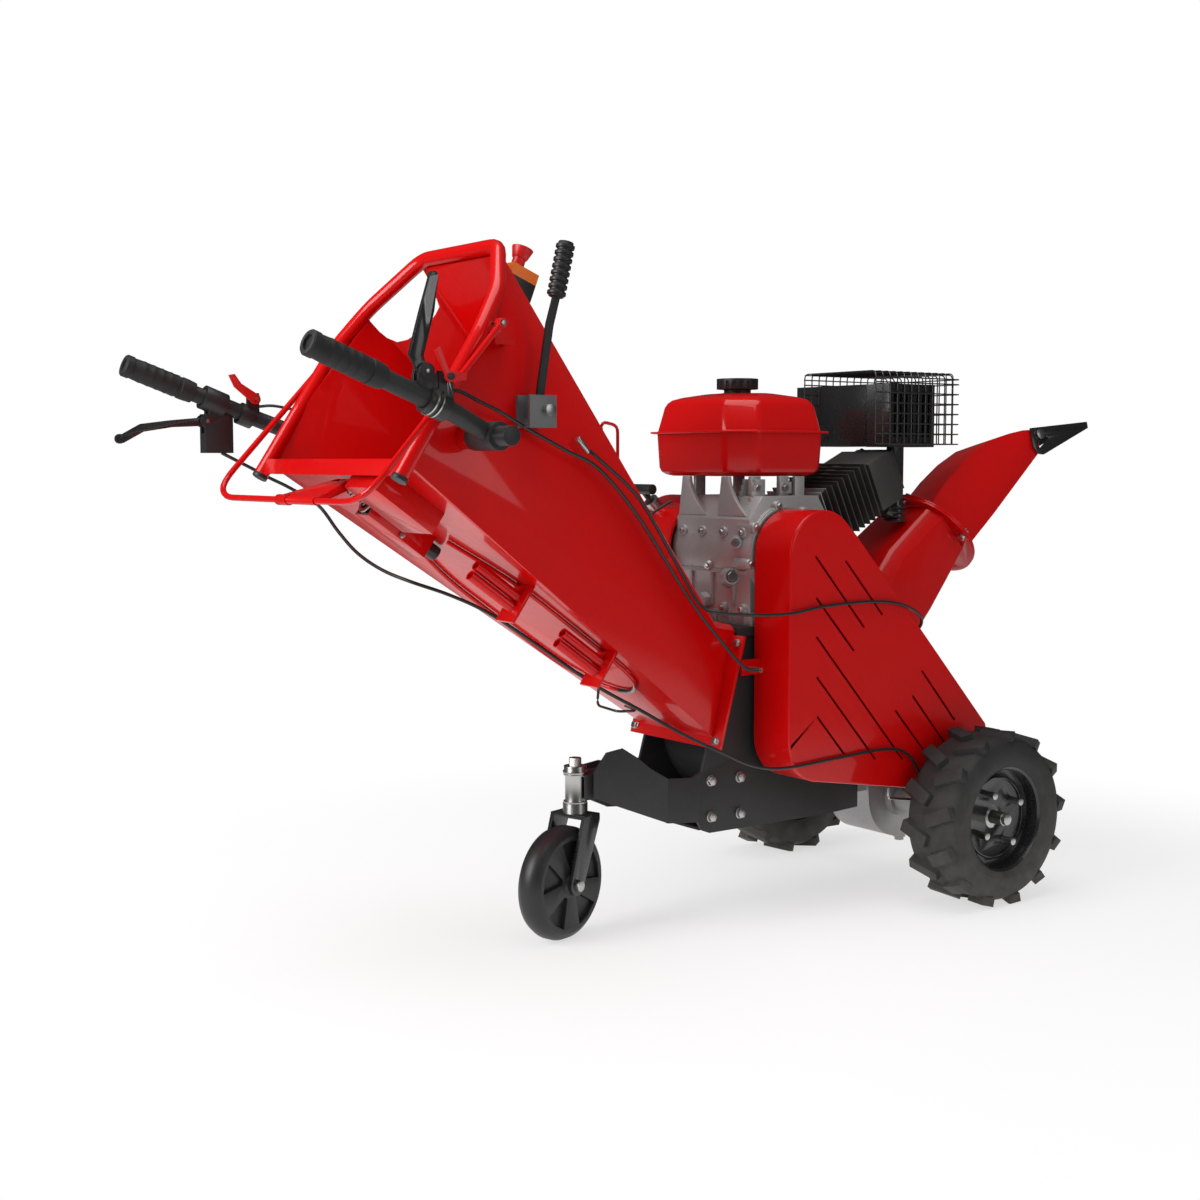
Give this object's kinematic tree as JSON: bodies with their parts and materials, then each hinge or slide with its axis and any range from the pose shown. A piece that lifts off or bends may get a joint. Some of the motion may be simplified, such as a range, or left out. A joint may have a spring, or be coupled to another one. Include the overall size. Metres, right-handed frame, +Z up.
{
  "type": "wood chipper",
  "caption": "Walk-behind wood chipper: red feed hopper with safety hoop, belt-driven drum rotor, petrol engine, turning discharge chute, driven wheels and a trailing castor.",
  "frame": {"origin": "on the ground right under the middle of the drive axle", "axes": "+X from the operator's end toward the discharge chute, +Y to the operator's left, +Z up"},
  "size_m": [2.0014, 0.7058, 1.193],
  "materials": {
    "red_paint": "gloss",
    "charcoal_paint": "satin",
    "black_paint": "satin",
    "black_rubber": "matte",
    "tyre_rubber": "matte",
    "black_plastic": "satin",
    "orange_plastic": "gloss",
    "red_plastic": "gloss",
    "zinc_steel": "satin",
    "blank_steel": "satin",
    "cast_aluminium": "cast",
    "cast_iron": "cast",
    "belt_rubber": "matte"
  },
  "bodies": {
    "chassis": {"frame_side_plates": "charcoal_paint", "frame_cross_members": "charcoal_paint", "fasteners": "zinc_steel", "castor_arm": "charcoal_paint", "rotor_housing": "charcoal_paint", "rotor_bearings": "cast_iron", "gearbox": "cast_aluminium", "drive_belts": "belt_rubber", "belt_cover": "red_paint", "belt_back_plate": "charcoal_paint", "feed_hopper": "red_paint", "mouth_tube": "red_paint", "tube_end_caps": "black_plastic", "stop_mechanism_box": "red_paint", "underside_brackets": "red_paint", "handlebars": "charcoal_paint", "handle_hubs": "charcoal_paint", "handle_grips": "black_rubber", "lever_perches": "black_plastic", "gear_bracket": "charcoal_paint", "stop_button_box": "black_plastic", "control_cables": "black_rubber", "engine_block": "cast_aluminium", "cylinder_head": "cast_aluminium", "fuel_tank": "red_paint", "muffler": "black_paint", "muffler_cage": "black_paint", "recoil_cover": "red_paint", "discharge_duct": "red_paint"},
    "castor_swivel": {"castor_fork": "charcoal_paint", "castor_hardware": "zinc_steel"},
    "castor_roller": {"castor_wheel": "black_plastic"},
    "rotor": {"rotor_shaft": "blank_steel", "rotor_drum": "cast_iron", "rotor_blades": "blank_steel", "rotor_pulley": "cast_iron"},
    "crank": {"crankshaft": "blank_steel"},
    "gearbox_input": {"gearbox_pulley": "cast_iron"},
    "idler_swing": {"idler_arm": "zinc_steel"},
    "idler_wheel": {"idler_pulley": "cast_iron"},
    "hoop": {"safety_hoop": "red_paint"},
    "hoop_link": {"stop_link": "red_paint"},
    "hoop_rod": {"stop_rod": "zinc_steel"},
    "clutch_handle": {"clutch_lever": "black_paint"},
    "clutch_catch": {"clutch_lock": "red_plastic"},
    "brake_handle": {"brake_lever": "black_paint"},
    "throttle": {"throttle_lever": "red_plastic"},
    "gear_stick": {"gear_lever": "charcoal_paint"},
    "stop_push": {"stop_button": "red_plastic"},
    "tank_cap": {"fuel_cap": "black_plastic"},
    "rope_handle": {"starter_handle": "black_plastic"},
    "chute": {"upper_chute": "red_paint", "flap_bolts": "zinc_steel"},
    "flap": {"chute_flap": "black_paint"},
    "left_wheel": {"left_tyre": "tyre_rubber", "left_rim": "black_paint", "left_axle": "zinc_steel"},
    "right_wheel": {"right_tyre": "tyre_rubber", "right_rim": "black_paint", "right_axle": "zinc_steel"}
  },
  "joints": [
    {"name": "castor_turn", "type": "hinge", "parent": "chassis", "child": "castor_swivel", "pos_m": [-0.757, 0, 0.26], "axis": [0, 0, 1], "continuous": true},
    {"name": "castor_roll", "type": "hinge", "parent": "castor_swivel", "child": "castor_roller", "pos_m": [-0.79725, -0.012, 0.1], "axis": [-0.2857, 0.9583, 0], "continuous": true},
    {"name": "rotor_spin", "type": "hinge", "parent": "chassis", "child": "rotor", "pos_m": [-0.338, 0, 0.345], "axis": [0, 1, 0], "continuous": true},
    {"name": "crank_spin", "type": "hinge", "parent": "chassis", "child": "crank", "pos_m": [-0.35, 0, 0.668], "axis": [0, 1, 0], "continuous": true},
    {"name": "gearbox_input_spin", "type": "hinge", "parent": "chassis", "child": "gearbox_input", "pos_m": [0.005, 0, 0.29], "axis": [0, 1, 0], "continuous": true},
    {"name": "idler_arm_swing", "type": "hinge", "parent": "chassis", "child": "idler_swing", "pos_m": [-0.236, 0, 0.428], "axis": [0, 1, 0], "range_deg": [-2.6, 0]},
    {"name": "idler_spin", "type": "hinge", "parent": "idler_swing", "child": "idler_wheel", "pos_m": [-0.252, 0, 0.505], "axis": [0, 1, 0], "continuous": true},
    {"name": "hoop_swing", "type": "hinge", "parent": "chassis", "child": "hoop", "pos_m": [-1.072, 0, 1.042], "axis": [0, 1, 0], "range_deg": [-5, 2]},
    {"name": "hoop_link_swing", "type": "hinge", "parent": "hoop", "child": "hoop_link", "pos_m": [-1.309, 0, 0.777], "axis": [0, 1, 0], "range_deg": [-2.1, 5.1]},
    {"name": "hoop_rod_slide", "type": "slide", "parent": "chassis", "child": "hoop_rod", "axis": [0.8171, 0, -0.5764], "range_m": [-0.0126, 0.0312]},
    {"name": "clutch_handle_swing", "type": "hinge", "parent": "chassis", "child": "clutch_handle", "pos_m": [-1.248, 0, 0.962], "axis": [0, 1, 0], "range_deg": [-50, 0], "stiffness_Nm_per_rad": 1.5, "springref_deg": 17.19},
    {"name": "clutch_catch_swing", "type": "hinge", "parent": "chassis", "child": "clutch_catch", "pos_m": [-1.218, 0, 0.955], "axis": [0, 1, 0], "range_deg": [-20, 20]},
    {"name": "brake_handle_swing", "type": "hinge", "parent": "chassis", "child": "brake_handle", "pos_m": [-1.296, 0, 0.904], "axis": [0, 1, 0], "range_deg": [0, 30], "stiffness_Nm_per_rad": 1.5, "springref_deg": -17.19},
    {"name": "throttle_swing", "type": "hinge", "parent": "chassis", "child": "throttle", "pos_m": [-1.214, 0, 0.942], "axis": [0, 1, 0], "range_deg": [-30, 35]},
    {"name": "gear_stick_swing", "type": "hinge", "parent": "chassis", "child": "gear_stick", "pos_m": [-0.976, 0, 0.915], "axis": [0, 1, 0], "range_deg": [-20, 20]},
    {"name": "stop_push_slide", "type": "slide", "parent": "chassis", "child": "stop_push", "axis": [0.3681, 0, 0.9298], "range_m": [-0.006, 0], "stiffness_N_per_m": 400},
    {"name": "tank_cap_turn", "type": "hinge", "parent": "chassis", "child": "tank_cap", "pos_m": [-0.31, 0.085, 0.984], "axis": [0, 0, 1], "range_deg": [0, 90]},
    {"name": "rope_handle_pull", "type": "slide", "parent": "chassis", "child": "rope_handle", "axis": [-0.7071, 0, 0.7071], "range_m": [0, 0.35], "stiffness_N_per_m": 40, "springref_m": -0.05},
    {"name": "chute_turn", "type": "hinge", "parent": "chassis", "child": "chute", "pos_m": [0.137, 0, 0.6886], "axis": [0.723, 0, 0.6909], "range_deg": [-18, 50]},
    {"name": "flap_tilt", "type": "hinge", "parent": "chute", "child": "flap", "pos_m": [0.40419, -0.01331, 0.87971], "axis": [0.1904, 0.9613, -0.1993], "range_deg": [-10, 35]},
    {"name": "left_wheel_spin", "type": "hinge", "parent": "chassis", "child": "left_wheel", "pos_m": [0, 0.28, 0.165], "axis": [0, 1, 0], "continuous": true},
    {"name": "right_wheel_spin", "type": "hinge", "parent": "chassis", "child": "right_wheel", "pos_m": [0, -0.28, 0.165], "axis": [0, 1, 0], "continuous": true}
  ],
  "couplings": [
    {"joint": "crank_spin", "follows": "rotor_spin", "ratio": 1.52},
    {"joint": "gearbox_input_spin", "follows": "rotor_spin", "ratio": 1.1176},
    {"joint": "idler_arm_swing", "follows": "clutch_handle_swing", "ratio": 0.05},
    {"joint": "hoop_link_swing", "follows": "hoop_swing", "ratio": -1},
    {"joint": "hoop_rod_slide", "follows": "hoop_swing", "m_per_rad": -0.355}
  ]
}
